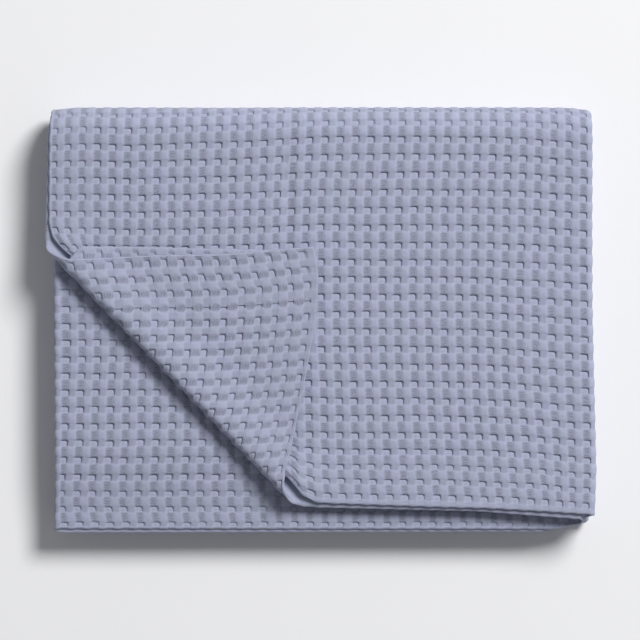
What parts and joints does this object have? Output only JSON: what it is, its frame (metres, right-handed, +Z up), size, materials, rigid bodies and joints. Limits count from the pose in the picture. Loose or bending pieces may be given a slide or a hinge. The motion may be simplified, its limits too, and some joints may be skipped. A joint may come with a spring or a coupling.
{
  "type": "waffle weave cotton blanket",
  "caption": "Waffle weave cotton blanket folded into a thick rectangular stack, with the near left corner of its upper plies turned back over the top along a diagonal roll.",
  "frame": {"origin": "bottom centre of the folded stack's box, on the surface that it lies on", "axes": "+X along the longer side, towards the folds of the short side; +Y towards the folded long side at the back; +Z up"},
  "size_m": [0.4296, 0.3326, 0.0538],
  "materials": {
    "cotton": "matt waffle weave cotton, lavender blue-grey"
  },
  "bodies": {
    "root": {"blanket": "cotton"}
  },
  "joints": []
}
